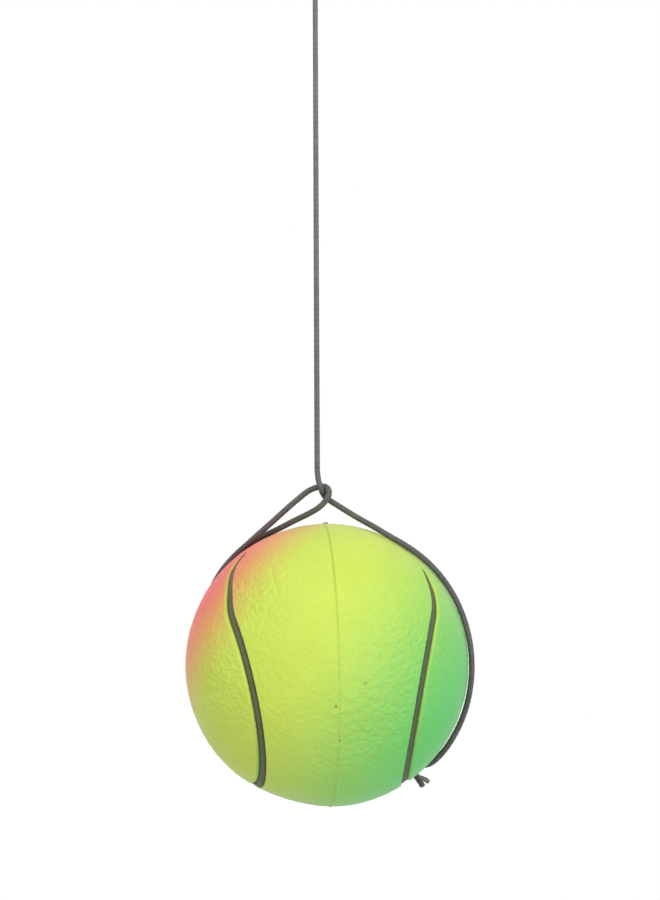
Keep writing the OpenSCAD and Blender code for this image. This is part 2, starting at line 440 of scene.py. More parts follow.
# Cords


def on_ball(angles, gap=LAY_GAP):
    """Where cord lies on the ball, by degrees round its outline, from the right and up, and behind it."""
    a, b = (math.radians(degrees) for degrees in angles)
    out = np.array([math.cos(b) * math.cos(a), math.sin(b), math.cos(b) * math.sin(a)])
    return BALL_MIDDLE + (BALL_R + (gap + SLACK_R)) * out


def in_hitch(place):
    return HITCH_MIDDLE + CORD_D * np.array(place)


# The finger loop's mesh: the step round its arc, the points along a leg, and how deep a leg is in the knot
ARC_STEP = math.radians(6)
LEG_SHARES = (0.15, 0.3, 0.5, 0.7, 0.85, 1)
LEG_TUCK = 1.2 * MM
# How deep the string is in the finger knot, and how far its core's ends are below its bottom and the bend
STRING_TUCK = 1.4 * MM
CORE_DROP = 0.5 * MM
# How far the strand keeps straight below the string, and over which drop it gets as thick as slack cord
STRAND_LEAD = 0.3 * MM
SLACK_DROP = 8 * MM
# Route of the strand through the hitch, in cord diameters from its middle
STRAND_HITCH = [
    (-0.75, -0.15, 3.8), (-0.62, -0.35, 2.6), (-0.46, -0.5, 1.95), (-0.25, -0.55, 1.3), (-0.04, -0.38, 0.6),
    (0.3, 0.2, -0.1), (0.72, 0.42, -0.65), (1.37, 0.5, -1.12), (2.32, 0.45, -1.73), (4.69, 0, -3.22),
    (6.81, -0.9, -4.49), (9.15, -2.5, -5.8),
]
# Route of the strand down the ball's right side, as angles round the outline and behind it
STRAND_SIDE = [
    (63, -8.5), (55, -8.5), (46, -6.5), (37, -5.5), (28, -5), (19, -5.5), (10, -5.5), (0, -5), (-10, -3.5),
    (-20, -0.5), (-28, 2), (-35, 3.5), (-40.5, 6.5), (-44.5, 11), (-47, 16.5),
]
# Angles round the outline between which the strand comes a little off the ball
STRAND_LIFTS = (-38, -10)
# Route of the noose's bight round the strand, in cord diameters from the hitch's middle
BIGHT = [
    (-10.6, 1.35, -6.5), (-8, 1.25, -4.2), (-5.6, 1.2, -2.05), (-4.02, 1.1, -0.72), (-3.23, 1, -0.08),
    (-2.44, 0.9, 0.5), (-1.64, 0.77, 0.91), (-1, 0.66, 1.15), (-0.35, 0.6, 1.28), (0.4, 0.5, 1.28),
    (0.92, 0.2, 0.97), (1.15, -0.3, 0.42), (1.15, -0.67, -0.2), (0.92, -0.82, -0.74), (0.58, -0.8, -1.26),
    (0.15, -0.75, -1.75), (-0.85, -0.6, -2.58), (-1.65, -0.4, -3.06), (-3.23, 0.1, -3.88), (-5.6, 1.2, -5.04),
    (-8, 2.5, -6.28), (-10.6, 3.6, -7.5),
]
# Where the bight turns most tightly, the share that the cord is squeezed wider there, and its reach
BIGHT_TURN = (0.95, 0, 0.6)
BIGHT_SWELL = 0.26
BIGHT_REACH = 1.5 * MM
# Route of the noose's legs across the ball's back, as angles round the outline and behind it
LEGS_BACK = [
    (124.5, 7.2), (131, 11.2), (138, 14.3), (145, 18.4), (153, 23), (162, 28.5), (172, 34), (183, 39),
    (195, 43), (208, 45.5), (222, 46.5), (236, 46), (250, 43.5), (262, 40), (273, 36.5), (283, 33),
    (291, 30.5), (298, 28),
]
# Angles behind the outline between which the legs come off the ball, and the share of their gap at the knot
LEGS_LIFT = (16, 30)
LEGS_CLOSE = 0.6


def straight(start, end, step=CORD_STEP):
    return evenly(np.array([start, end], float), step)


def make_finger_loop():
    """The loop over the finger: up one leg, round the arc and down the other, into the knot at both ends."""
    half = math.pi / 2 + LEG_ANGLE
    turns = np.arange(-half, half + ARC_STEP / 2, ARC_STEP)
    arc = [(LOOP_R * math.sin(t), 0, LOOP_Z + LOOP_R * math.cos(t)) for t in turns]
    foot = np.array([LEG_PITCH / 2, 0, KNOT_TOP_Z - LEG_TUCK])
    hip = np.array(arc[-1])
    leg = [hip + (foot - hip) * share for share in LEG_SHARES]
    other_leg = [p * np.array([-1, 1, 1]) for p in reversed(leg)]
    route = smooth_route(other_leg + arc + leg, CORD_STEP)
    loop = add_cord("finger_loop_cord", route, CORD_GREY)
    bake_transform(loop)
    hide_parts("finger_arc", "finger_legs")
    return loop, route


def string_r(route):
    """Radius of the string, which is stretched thinner towards its top."""
    return np.interp(route[:, 2], (TWIST_END_Z, BEND_END_Z), (STRING_FOOT_R, TAUT_R))


def make_string():
    """The straight string in three pieces, with its core: its bend at the knot, its length and its twist."""
    axis = np.array([0.0, 0.0, 1.0])
    bend_route = straight(axis * (KNOT_BOTTOM_Z + STRING_TUCK), axis * BEND_END_Z)
    bend = add_cord("string_bend", bend_route, CORD_GREY, TAUT_R)
    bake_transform(bend)
    route = straight(axis * TWIST_START_Z, axis * BEND_END_Z)
    string = add_cord("string_cord", route, CORD_GREY, string_r(route))
    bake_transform(string)
    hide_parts("string_sleeve")
    core_route = straight(axis * (STRING_BOTTOM_Z - CORE_DROP), axis * (BEND_END_Z - CORE_DROP))
    core = add_cord("string_core_thread", core_route, CORE_LATEX, CORE_R, depth=CORE_DEPTH, sides=CORE_SIDES)
    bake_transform(core)
    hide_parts("string_core")
    twist_route = straight(axis * TWIST_END_Z, axis * TWIST_START_Z)
    twist = add_cord("string_twist", twist_route, CORD_GREY, string_r(twist_route))
    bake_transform(twist)
    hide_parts("string_end")
    return string, route, [bend, core, twist]


def make_strand():
    """The string's end: through the hitch and down the right side of the ball to the knot."""
    points = [(0, 0, TWIST_END_Z), (0, 0, TWIST_END_Z - STRAND_LEAD)]
    points += [in_hitch(p) for p in STRAND_HITCH]
    points += [on_ball(p, np.interp(p[0], STRAND_LIFTS, (STRAND_GAP, LAY_GAP))) for p in STRAND_SIDE]
    points.append(NOOSE_KNOT_MIDDLE)
    route = clear_of_ball(smooth_route(points, CORD_STEP), SLACK_R)
    below = TWIST_END_Z - route[:, 2]
    strand_r = np.interp(below, (0, SLACK_DROP), (STRING_FOOT_R, SLACK_R))
    strand = add_cord("side_strand_cord", route, CORD_GREY, strand_r)
    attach(strand, "noose")
    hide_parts("side_strand")
    return strand, route


def leg_points(hand):
    """One of the two legs across the ball's back, half a pitch to one side of their middle route."""
    middle = np.array([on_ball(p) for p in LEGS_BACK])
    ahead = unit(np.gradient(middle, axis=0))
    shift = unit(np.cross(ahead, middle - BALL_MIDDLE)) * hand * NOOSE_LEG_PITCH / 2
    gap = np.interp([p[1] for p in LEGS_BACK], LEGS_LIFT, (LAY_GAP, LOOSE_GAP))[:, None]
    leg = BALL_MIDDLE + unit(middle + shift - BALL_MIDDLE) * (BALL_R + gap + SLACK_R)
    return [*leg, NOOSE_KNOT_MIDDLE + LEGS_CLOSE * shift[-1]]


def make_noose():
    """The loop round the strand: a leg across the ball's back, the bight, and a leg back."""
    points = leg_points(-1)[::-1] + [in_hitch(p) for p in BIGHT] + leg_points(1)
    route = clear_of_ball(smooth_route(points, CORD_STEP), SLACK_R)
    from_bend = np.linalg.norm(route - in_hitch(BIGHT_TURN), axis=1)
    noose_r = SLACK_R * (1 + BIGHT_SWELL * np.exp(-(from_bend / BIGHT_REACH) ** 2))
    noose = add_cord("noose_loop_cord", route, CORD_GREY, noose_r)
    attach(noose, "noose")
    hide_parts("noose_loop")
    return noose, route


finger_loop, finger_route = make_finger_loop()
string, string_route, string_pieces = make_string()
strand, strand_route = make_strand()
noose, noose_route = make_noose()

# Knots and cut ends

# The wrap of the finger knot: its turns, its points, its cord's radius and its own; where in the knot's
# height it starts and how much it takes; how far each turn leans; and how its two ends are tucked in
WRAP_TURNS = 3
WRAP_POINTS = 90
WRAP_CORD_R = 0.66 * MM
WRAP_R = 1.75 * MM
WRAP_START = 0.16
WRAP_SPAN = 0.68
WRAP_LEAN = 0.18 * MM
TUCK_HALF = np.array([0.7, 0.7, 1])
TUCK_FULL = np.array([0.25, 0.25, 1])
TUCK_SIDE = 0.4 * MM
TUCK_RISE = 0.1 * MM

# A cut end: the share of its thickness that it keeps however rounded; and its core's length, how far it
# stands out, the step of its mesh and its share of the radius
CUT_KEEPS = 0.25
CUT_CORE_LENGTH = 0.8 * MM
CUT_CORE_OUT = 0.02 * MM
CUT_CORE_STEP = 0.1 * MM
CUT_CORE_SHARE = 0.55

# The noose's knot: its cord's radius, its size, its points and its depth
TIE_CORD_R = 0.52 * MM
TIE_SIZE = 0.33 * MM
TIE_POINTS = 160
TIE_DEPTH = 1.6

# Routes of the cut ends, in millimetres: from the finger knot's top, and from the middle of the noose's knot
FINGER_TAIL = [(0, -0.5, -1.2), (0, -0.1, 0), (0.1, 0.5, 2.5), (0.3, 1.2, 5), (0.4, 1.5, 8)]
TAIL_DOWN = [(0.5, -0.3, -0.7), (1.3, -0.9, -2.0), (1.95, -1.3, -2.9), (2.3, -1.5, -3.75)]
TAIL_SIDE = [(0.6, 0.2, -0.7), (1.55, 0.5, -1.7), (2.65, 0.8, -2.1), (3.25, 0.9, -2.5), (3.6, 0.95, -2.95)]
TAIL_DOWN_R = 0.64 * MM
TAIL_SIDE_R = 0.52 * MM


def make_finger_knot():
    """Turns of the cord wrapped round the string and the loop's legs, with their ends tucked inside."""
    steps = np.linspace(0, 1, WRAP_POINTS)
    height = KNOT_BOTTOM_Z - KNOT_TOP_Z
    angle = 2 * np.pi * WRAP_TURNS * steps
    rise = KNOT_BOTTOM_Z - height * (WRAP_START + WRAP_SPAN * steps) + WRAP_LEAN * np.sin(angle)
    route = np.stack([WRAP_R * np.cos(angle), WRAP_R * np.sin(angle), rise], axis=1)
    first = [route[0] * TUCK_FULL + (0, 0, -TUCK_RISE), route[0] * TUCK_HALF + (0, -TUCK_SIDE, 0)]
    last = [route[-1] * TUCK_HALF + (0, TUCK_SIDE, 0), route[-1] * TUCK_FULL + (0, 0, TUCK_RISE)]
    route = smooth_route([*first, *route, *last], CORD_STEP)
    knot = add_cord("finger_knot_wrap", route, CORD_GREY, WRAP_CORD_R)
    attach(knot, "loop_legs")
    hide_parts("finger_knot")
    return knot


def cut_end(name, points, body, r=CORD_R):
    """A short cut end of cord: its sleeve, and the pale core that shows in the cut."""
    route = smooth_route(points, CORD_STEP)
    ahead = unit(route[-1] - route[-3])
    thickness = CUT_KEEPS + (1 - CUT_KEEPS) * rounded_end(route, r)
    sleeve = add_cord(name, route, CORD_GREY, r, thickness=thickness)
    core_route = straight(
        route[-1] - CUT_CORE_LENGTH * ahead, route[-1] + CUT_CORE_OUT * ahead, CUT_CORE_STEP)
    core = add_cord(
        name + "_core", core_route, CORE_LATEX, CUT_CORE_SHARE * r, depth=CORE_DEPTH, sides=CORE_SIDES)
    for piece, slot in ((sleeve, "cord_sleeve"), (core, "cord_core")):
        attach(piece, body)
    return sleeve, core


def make_noose_knot():
    """A small tight overhand knot."""
    t = np.linspace(0, 2 * np.pi, TIE_POINTS)
    across = np.sin(t) + 2 * np.sin(2 * t)
    along = np.cos(t) - 2 * np.cos(2 * t)
    knot_line = np.stack([across, along, -TIE_DEPTH * np.sin(3 * t)], axis=1)
    out = unit(NOOSE_KNOT_MIDDLE - BALL_MIDDLE)
    side = unit(np.cross(out, (0, 1, 0)))
    up = np.cross(out, side)
    route = NOOSE_KNOT_MIDDLE + TIE_SIZE * (knot_line @ np.stack([side, up, out]))
    knot = add_cord("noose_knot_tie", evenly(route, CORD_STEP), CORD_GREY, TIE_CORD_R)
    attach(knot, "noose")
    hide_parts("noose_knot")
    return knot


def points_from(start, places):
    """Points that are given in millimetres from a start."""
    return [start + np.array(p) * MM for p in places]


finger_knot = make_finger_knot()
finger_tail_start = np.array([0, LEG_PITCH, KNOT_TOP_Z])
finger_tail = cut_end("finger_tail_end", points_from(finger_tail_start, FINGER_TAIL), "loop_legs")
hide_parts("finger_tail")
noose_knot = make_noose_knot()
tail_down = cut_end("noose_tail_down", points_from(NOOSE_KNOT_MIDDLE, TAIL_DOWN), "noose", TAIL_DOWN_R)
tail_side = cut_end("noose_tail_side", points_from(NOOSE_KNOT_MIDDLE, TAIL_SIDE), "noose", TAIL_SIDE_R)
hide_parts("noose_tails")

# The ball


def turn_about(axis, angle):
    return np.array(Matrix.Rotation(angle, 3, axis))


# The ball's own frame: the mould line lies in its x = 0 plane, and the nib at its top
BALL_TURN = turn_about("Z", BALL_YAW) @ turn_about("Y", -BALL_LEAN)

# The seam is four equal arcs of small circles, each of which counts for a small angle past its ends
LOBE_TILT = math.atan((math.sqrt(0.5) - math.sin(SEAM_WAIST)) / math.cos(SEAM_WAIST))
LOBE_ANGLE = math.acos(math.sqrt(0.5) * math.cos(LOBE_TILT))
LOBE_SPAN = 2 * (math.pi / 2 + math.atan(math.sin(LOBE_TILT)))
LOBE_OVERLAP = 0.02
LOBES = [
    turn_about("X", -SEAM_DIP) @ turn_about("Z", math.pi / 2 * k) @ turn_about("X", math.pi * (k % 2))
    @ turn_about("Y", math.pi / 2 + LOBE_TILT)
    for k in range(4)
]


def seam_distance(directions):
    """Distance along the ball from each direction, in the ball's frame, to the middle of the seam."""
    nearest = np.full(len(directions), np.inf)
    for lobe in LOBES:
        seen = directions @ lobe
        turn = np.arctan2(seen[:, 1], seen[:, 0])
        off = np.abs(np.arccos(np.clip(seen[:, 2], -1, 1)) - LOBE_ANGLE) * BALL_R
        inside = np.abs(turn) <= LOBE_SPAN / 2 + LOBE_OVERLAP
        nearest = np.where(inside, np.minimum(nearest, off), nearest)
    return nearest


# Large whole numbers that scramble a cell's place and a seed into noise, and the bits of it that are used
CELL_MIX = np.array([374761393, 668265263, 2147483647])
SEED_MIX = 1274126177
SCRAMBLE = 1103515245
LOW_BITS = 0xFFFF


def lattice_value(cell, seed):
    """A fixed pseudo-random number from 0 to 1 for each whole-number cell."""
    mixed = (cell * CELL_MIX).sum(axis=-1) + seed * SEED_MIX
    mixed = (mixed ^ (mixed >> 13)) * SCRAMBLE
    mixed = mixed ^ (mixed >> 16)
    return (mixed & LOW_BITS) / LOW_BITS


def value_noise(points, scale, seed):
    """Smooth noise from 0 to 1 with features of about one over the scale."""
    at = points * scale
    cell = np.floor(at).astype(np.int64)
    t = at - cell
    t = t * t * (3 - 2 * t)
    total = np.zeros(len(points))
    for corner in itertools.product((0, 1), repeat=3):
        corner = np.array(corner)
        weight = np.prod(np.where(corner == 1, t, 1 - t), axis=1)
        total += weight * lattice_value(cell + corner, seed)
    return total


def cube_sphere(cells):
    """Directions and quads of a sphere made from a cube's six grids."""
    a, b = np.meshgrid(np.arange(cells), np.arange(cells), indexing="ij")
    a, b = a.ravel(), b.ravel()
    square = ((0, 0), (1, 0), (1, 1), (0, 1))
    corners = np.stack([np.stack([a + da, b + db], axis=1) for da, db in square], axis=1)
    quads = []
    for axis in range(3):
        for far in (0, 1):
            place = np.zeros((len(a), 4, 3), np.int64)
            place[..., (axis + 1) % 3] = corners[..., 0]
            place[..., (axis + 2) % 3] = corners[..., 1]
            place[..., axis] = far * cells
            quads.append(place if far else place[:, ::-1])
    place = np.concatenate(quads)
    key = (place[..., 0] * (cells + 1) + place[..., 1]) * (cells + 1) + place[..., 2]
    _, first, faces = np.unique(key.ravel(), return_index=True, return_inverse=True)
    grid = place.reshape(-1, 3)[first]
    return unit(np.tan((grid / cells - 0.5) * math.pi / 2)), faces.reshape(-1, 4)


def point_normals(points, quads):
    """The surface's direction at each point."""
    across = points[quads[:, 2]] - points[quads[:, 0]]
    along = points[quads[:, 3]] - points[quads[:, 1]]
    face = np.cross(across, along)
    total = np.zeros_like(points)
    for k in range(4):
        np.add.at(total, quads[:, k], face)
    return unit(total)


# Mesh of the ball: cells along each edge of its cube
BALL_CELLS = 200

# The groove: half widths of its mouth and its floor, its depth, where the skin beside it is whole again, in
# half widths, and how much shallower it is where it has run out
GROOVE_HALF = 1.2 * MM
GROOVE_FLOOR = 0.78 * MM
GROOVE_DEEP = 0.56 * MM
LIP_END = 1.4
RUN_OUT_RISE = 0.42 * MM

# Heights, in ball radii, between which the groove runs out, and how much sooner it does so towards the right
RUN_OUT_HEIGHTS = (0.6, 0.78)
RUN_OUT_LEAN = 0.1

# Paint on the skin at the groove, whose dark tone on the lower walls is partly painted shade: where it starts
# to fade and ends, and the share that it narrows from
PAINTED = (0.75 * MM, 0.98 * MM)
PAINT_FADE = 1.01

# The mould line: its half width and height; and its stain: its half width, the share of it low down, and the
# heights between which it gets full
LINE_HALF = 0.3 * MM
LINE_HIGH = 0.13 * MM
STAIN_HALF = 0.17 * MM
STAIN_LEFT = 0.35
STAIN_HEIGHTS = (-0.2, 0.85)

# Wrinkles: their height and the share of it in the groove; their pebbles, as scales, shares and seeds, and
# the share of these on smooth skin; the scale, stretch and share of their folds; and what counts as level
WRINKLE_HIGH = 0.45 * MM
WRINKLE_LEFT = 0.25
PEBBLES = [(44, 0.55, 1), (76, 0.45, 2)]
PEBBLE_SMOOTH = 0.35
FOLD_SCALE = 34
FOLD_STRETCH = (1, 1, 1.8)
FOLD_SHARE = 0.4
WRINKLE_LEVEL = 0.5

# Wrinkled patches behind the front: the scale of their noise, the noise and the places, in ball radii behind
# the middle, between which they set in, and their share
PATCH_SCALE = 3.2
PATCH_NOISE = (0.4, 0.7)
PATCH_BEHIND = (-0.2, 0.3)
PATCH_SHARE = 0.5

# Wrinkled places on the front, in ball radii right of and above the ball's middle, and their reach
ROUGH_PLACES = [(-0.58, 0.5, 0.3), (-0.8, 0.0, 0.4), (0.55, 0.2, 0.35), (0.4, -0.45, 0.4), (0.1, -0.75, 0.25)]

# The two ends of the crease, as places on the front, its half width and its depth
CREASE = [(-0.378, 0.665), (-0.342, 0.53)]
CREASE_HALF = 0.4 * MM
CREASE_DEEP = 0.2 * MM

# The ball is a little flat at its foot: the place of the flat, its reach and its depth
FLAT = (-0.295, -0.95)
FLAT_REACH = math.radians(28)
FLAT_DEEP = 0.5 * MM

# Directions that the green and the pink spray came from, and the cosines where each starts and is full;
# and how much the groove's walls and the wrinkles turn the surface to or from the spray
GREEN_FROM = unit(np.array([0.872, -0.066, -0.484]))
GREEN_RANGE = (-0.211, 1.065)
PINK_FROM = unit(np.array([-0.803, 0.212, 0.558]))
PINK_RANGE = (0.413, 0.987)
WALL_TILT = 0.6
WRINKLE_TILT = 0.4

# Near its left end the photograph's seam stands steeper than the four arcs: how far it is turned about the
# upright there, and between which heights and places, in ball radii, the turn sets in
STEEP_TURN = 0.15
STEEP_HEIGHTS = (0.5, 0.82)
STEEP_ACROSS = (-0.2, -0.4)
STEEP_BEHIND = (0.3, -0.1)


def steep_angle(facing):
    """How far the seam is turned at each place on the ball."""
    share = smooth_step(facing[:, 2], *STEEP_HEIGHTS)
    share = share * smooth_step(facing[:, 0], *STEEP_ACROSS) * smooth_step(facing[:, 1], *STEEP_BEHIND)
    return STEEP_TURN * share


def turned_upright(facing, angle):
    """Directions turned about the upright, each by its own angle."""
    cos, sin = np.cos(angle), np.sin(angle)
    x, y, z = facing.T
    return np.stack([x * cos - y * sin, x * sin + y * cos, z], axis=1)


def run_out(own):
    """How far the groove has run out towards the ball's top, from 0 to 1, where its paint has ended."""
    facing = own @ BALL_TURN.T
    return smooth_step(facing[:, 2] + RUN_OUT_LEAN * facing[:, 0], *RUN_OUT_HEIGHTS)


def seen_at(across, up):
    """The direction of a place on the ball's front, given in ball radii right of and above its middle."""
    return np.array([across, -math.sqrt(1 - across ** 2 - up ** 2), up])


def rough_share(own):
    """How wrinkled the skin is, from 0 to 1: most round a few places on the front, and in patches behind."""
    facing = own @ BALL_TURN.T
    patches = smooth_step(value_noise(own, PATCH_SCALE, seed=4), *PATCH_NOISE)
    share = PATCH_SHARE * patches * smooth_step(facing[:, 1], *PATCH_BEHIND)
    for across, up, reach in ROUGH_PLACES:
        far = np.linalg.norm(facing - seen_at(across, up), axis=1)
        share = np.maximum(share, np.exp(-(far / reach) ** 2))
    return share


def wrinkle_height(own):
    """Height of the wrinkles at each place on the ball."""
    pebble = sum(value_noise(own, scale, seed) * share for scale, share, seed in PEBBLES)
    folds = 1 - np.abs(2 * value_noise(own * FOLD_STRETCH, FOLD_SCALE, seed=3) - 1)
    rough = rough_share(own)
    pebble_share = PEBBLE_SMOOTH + (1 - PEBBLE_SMOOTH) * rough
    return (pebble_share * pebble + FOLD_SHARE * rough * folds ** 2 - WRINKLE_LEVEL) * WRINKLE_HIGH


def crease_share(own):
    """The one short crease in the skin, as a share of its depth."""
    facing = own @ BALL_TURN.T
    start, end = (seen_at(*place) for place in CREASE)
    line = end - start
    along = np.clip((facing - start) @ line / (line @ line), 0, 1)
    far = np.linalg.norm(facing - start - along[:, None] * line, axis=1) * BALL_R
    return np.exp(-(far / CREASE_HALF) ** 2)


def flat_share(own):
    """The flat at the ball's foot, as a share of its depth."""
    off = np.arccos(np.clip(own @ BALL_TURN.T @ seen_at(*FLAT), -1, 1))
    return smooth_step(off, FLAT_REACH, 0)


def spray_shares(facing):
    """How much of each spray a surface has that faces this way."""
    return {
        "green": smooth_step(facing @ GREEN_FROM, *GREEN_RANGE),
        "pink": smooth_step(facing @ PINK_FROM, *PINK_RANGE),
    }


def ball_form():
    """Points, quads and the values that the ball's material reads."""
    own, quads = cube_sphere(BALL_CELLS)
    broad = own @ BALL_TURN.T
    distance = seam_distance(turned_upright(broad, steep_angle(broad)) @ BALL_TURN)
    off_line = np.abs(own[:, 0]) * BALL_R
    line = np.clip(1 - (off_line / LINE_HALF) ** 2, 0, 1)
    keep = smooth_step(distance, GROOVE_FLOOR, LIP_END * GROOVE_HALF)
    ended = run_out(own)
    depth = GROOVE_DEEP - RUN_OUT_RISE * ended
    groove = depth * (1 - smooth_step(distance, GROOVE_FLOOR, GROOVE_HALF))
    height = LINE_HIGH * line * keep + wrinkle_height(own) * (WRINKLE_LEFT + (1 - WRINKLE_LEFT) * keep)
    height -= groove + CREASE_DEEP * crease_share(own) + FLAT_DEEP * flat_share(own)
    points = BALL_MIDDLE + ((BALL_R + height)[:, None] * own) @ BALL_TURN.T
    walls = point_normals((BALL_R - groove)[:, None] * broad, quads)
    tilt = WALL_TILT * walls + WRINKLE_TILT * point_normals(points, quads)
    values = spray_shares(unit(broad + tilt))
    values["groove"] = 1 - smooth_step(distance / (PAINT_FADE - ended), *PAINTED)
    stain = STAIN_LEFT + (1 - STAIN_LEFT) * smooth_step(own[:, 2], *STAIN_HEIGHTS)
    values["line"] = np.exp(-(off_line / STAIN_HALF) ** 2) * keep * stain
    return points, quads, values


# Colours of the ball, and how strong the line's stain, the paint and the droplets of each spray are
SPRAY_YELLOW = srgb(208, 229, 93)
SPRAY_GREEN = srgb(98, 209, 114)
SPRAY_PINK = srgb(255, 104, 108)
CLOUD = srgb(196, 214, 84)
GRAIN = srgb(150, 170, 60)
LINE_TAN = srgb(146, 138, 46)
# The paint at the groove's walls is real paint, made darker there as painted shade in the groove
PAINT_EDGE_SHADE = srgb(80, 86, 36)
SPECK = srgb(96, 92, 40)
STAIN_STRENGTH = 0.55
PAINT_STRENGTH = 0.9
GREEN_DROPS = 0.1
PINK_DROPS = 0.12

# Dark specks in the rubber: places as above, radius in millimetres and strength; and the share that is full
SPECKS = [(0.061, -0.258, 0.42, 0.8), (0.088, -0.497, 0.4, 0.55), (0.267, -0.098, 0.6, 0.3)]
SPECK_FULL = 0.3


def sprayed(n):
    """The base colour under its two sprays, whose edges break up into fine droplets."""
    drops = n.math("SUBTRACT", n.noise(scale=5200, detail=2, roughness=0.6), 0.5)
    green_share = n.math("ADD", n.attribute("green"), n.math("MULTIPLY", drops, GREEN_DROPS))
    pink_share = n.math("ADD", n.attribute("pink"), n.math("MULTIPLY", drops, PINK_DROPS))
    colour = n.mix(green_share, SPRAY_YELLOW, SPRAY_GREEN)
    return n.mix(pink_share, colour, SPRAY_PINK)


def ball_material():
    n = Nodes("ball_rubber")
    colour = sprayed(n)
    cloud = n.noise(scale=160, detail=3)
    colour = n.mix(n.ramp(cloud, low=0.3, high=0.75, out_high=0.1), colour, CLOUD, "MULTIPLY")
    grain = n.noise(scale=1500, detail=3, roughness=0.65)
    colour = n.mix(n.ramp(grain, low=0.42, high=0.66, out_high=0.06), colour, GRAIN, "MULTIPLY")
    colour = n.mix(n.math("MULTIPLY", n.attribute("line"), STAIN_STRENGTH), colour, LINE_TAN)
    for across, up, size, strength in SPECKS:
        far = n.distance_from(BALL_MIDDLE + BALL_R * seen_at(across, up))
        share = n.ramp(far, low=SPECK_FULL * size * MM, high=size * MM, out_low=strength, out_high=0.0)
        colour = n.mix(share, colour, SPECK)
    # Dark paint on the groove's floor and lower walls, partly painted shade in the groove
    colour = n.mix(n.math("MULTIPLY", n.attribute("groove"), PAINT_STRENGTH), colour, PAINT_EDGE_SHADE)
    fine = n.noise(scale=3400, detail=3, roughness=0.6)
    coarse_bump = n.bump(grain, distance=0.08 * MM, strength=0.6)
    normal = n.bump(fine, distance=0.05 * MM, strength=0.5, under=coarse_bump)
    return n.finish(
        colour, normal, Roughness=0.55, Specular_IOR_Level=0.22, Sheen_Weight=0.3, Sheen_Roughness=0.35)


def make_ball():
    points, quads, values = ball_form()
    ball = add_mesh("ball_skin", points, quads.tolist(), ball_material(), values)
    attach(ball, "ball")
    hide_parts("ball")


# Section of the paint in the groove, and the points across it and along each arc of the seam
PAINT_HALF = 0.77 * MM
PAINT_SINK = 0.5 * MM
PAINT_CURL = 0.02 * MM
PAINT_THICK = 0.2 * MM
PAINT_POINTS = 13
LOBE_STEPS = 150

# How the paint's width varies: its least share, what noise adds to that, and the noise's scale
WIDTH_LEAST = 0.97
WIDTH_NOISE = 0.06
WIDTH_SCALE = 40

# The paint's end: its least share of the width, how deep it is buried, and over which last stretch
TIP_LEAST = 0.1
TIP_BURY = 0.4 * MM
TIP_STRETCH = (0.9, 1)

# Rounds in which the paint's line finds its turned place
TURN_ROUNDS = 4

# Colours of the paint, and how much of the two sprays it has
PAINT_MIDDLE = srgb(98, 106, 74)
# The paint's side colour is painted shade from the groove's walls
PAINT_SIDE_SHADE = srgb(64, 72, 32)
PAINT_GREEN = srgb(58, 96, 58)
PAINT_PINK = srgb(128, 72, 60)
PAINT_BLOTCH = srgb(60, 64, 44)
PAINT_GREEN_SHARE = 0.45
PAINT_PINK_SHARE = 0.3


def seam_route():
    """Directions along the whole closed seam, arc after arc, in the ball's frame."""
    turns = np.linspace(-LOBE_SPAN / 2, LOBE_SPAN / 2, LOBE_STEPS + 1)
    ring = np.stack([
        math.sin(LOBE_ANGLE) * np.cos(turns), math.sin(LOBE_ANGLE) * np.sin(turns),
        np.full(len(turns), math.cos(LOBE_ANGLE))], axis=1)
    arcs = [ring @ lobe.T for lobe in LOBES]
    chain = arcs.pop(0)
    while arcs:
        ends = [(k, side) for k in range(len(arcs)) for side in (0, -1)]
        k, side = min(ends, key=lambda end: np.linalg.norm(arcs[end[0]][end[1]] - chain[-1]))
        arc = arcs.pop(k)
        chain = np.concatenate([chain, (arc if side == 0 else arc[::-1])[1:]])
    return chain[:-1]


def paint_middle():
    """The middle of the painted line, which is turned near its left end as the groove is."""
    arcs = seam_route() @ BALL_TURN.T
    moved = arcs
    for _ in range(TURN_ROUNDS):
        moved = turned_upright(arcs, -steep_angle(moved))
    return moved @ BALL_TURN


def paint_form():
    """Points, quads and values of the painted line, which is a little dished and ends near the ball's top."""
    middle = paint_middle()
    ahead = unit(np.roll(middle, -1, axis=0) - np.roll(middle, 1, axis=0))
    side = np.cross(middle, ahead)
    across = np.linspace(-1, 1, PAINT_POINTS)
    rough = value_noise(middle, WIDTH_SCALE, seed=6)
    ended = run_out(middle)
    half = PAINT_HALF * (WIDTH_LEAST + WIDTH_NOISE * rough) * np.maximum(1 - ended, TIP_LEAST)
    lift = RUN_OUT_RISE * ended - TIP_BURY * smooth_step(ended, *TIP_STRETCH)
    top = -PAINT_SINK + PAINT_CURL * across ** 2
    low = top - PAINT_THICK
    low[1:-1] -= PAINT_THICK
    section = np.concatenate([np.stack([across, top], axis=1), np.stack([across, low], axis=1)[::-1]])
    count = len(section)
    rise = BALL_R + section[:, 1] + lift[:, None]
    points = middle[:, None] * rise[..., None] + side[:, None] * (half[:, None] * section[:, 0])[..., None]
    points = BALL_MIDDLE + points.reshape(-1, 3) @ BALL_TURN.T
    rings = len(middle)
    ring = np.arange(rings)[:, None] * count
    after = (np.arange(rings)[:, None] + 1) % rings * count
    k = np.arange(count)[None]
    follow = (k + 1) % count
    quads = np.stack([ring + k, after + k, after + follow, ring + follow], axis=-1).reshape(-1, 4)
    values = spray_shares(unit(points - BALL_MIDDLE))
    values["edge"] = np.tile(np.abs(section[:, 0]), rings)
    return points, quads, values


